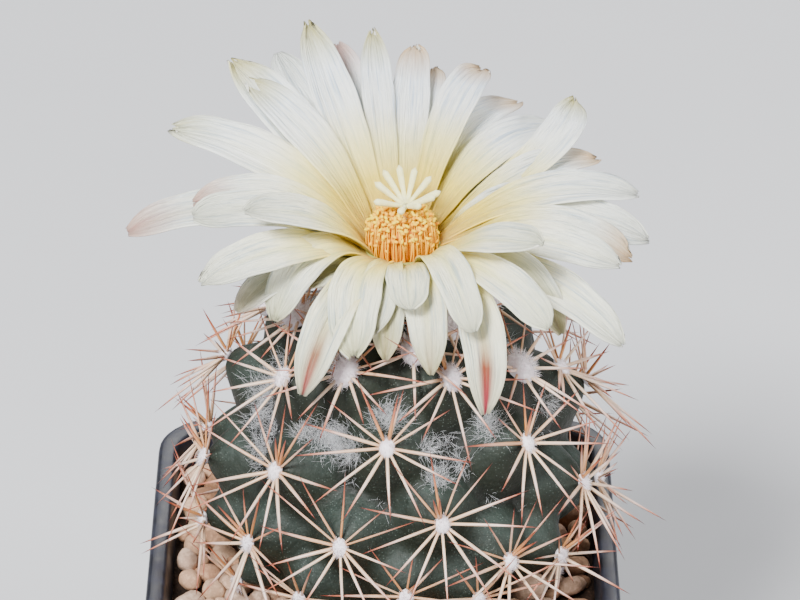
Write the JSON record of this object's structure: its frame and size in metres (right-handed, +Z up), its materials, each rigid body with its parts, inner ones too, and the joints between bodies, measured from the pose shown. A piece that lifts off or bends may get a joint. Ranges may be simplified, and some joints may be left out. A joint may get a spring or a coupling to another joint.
{
  "type": "potted flowering cactus",
  "caption": "Globular spined cactus with one wide open white flower, standing in gravel in a square black plastic pot.",
  "frame": {"origin": "middle of the pot's underside, on the surface it stands on", "axes": "+Z up along the plant, +X and +Y along the pot's sides; the flower's lowest petals hang towards -Y"},
  "size_m": [0.0789, 0.0765, 0.1371],
  "materials": {
    "pot_plastic": "black moulded plastic, scuffed grey at the rim",
    "gravel": "dry tan and peach pebbles",
    "cactus_flesh": "dull bluish green skin with fine pale specks, straw-coloured spines and white wool",
    "petal": "thin silky white, yellow towards the throat, beige at the tips",
    "stamen": "orange yellow, powdery",
    "stigma": "creamy white, soft"
  },
  "bodies": {
    "root": {"pot": "pot_plastic", "gravel": "gravel", "stem": "cactus_flesh", "flower": "petal", "stamens": "stamen", "pistil": "stigma"}
  },
  "joints": []
}
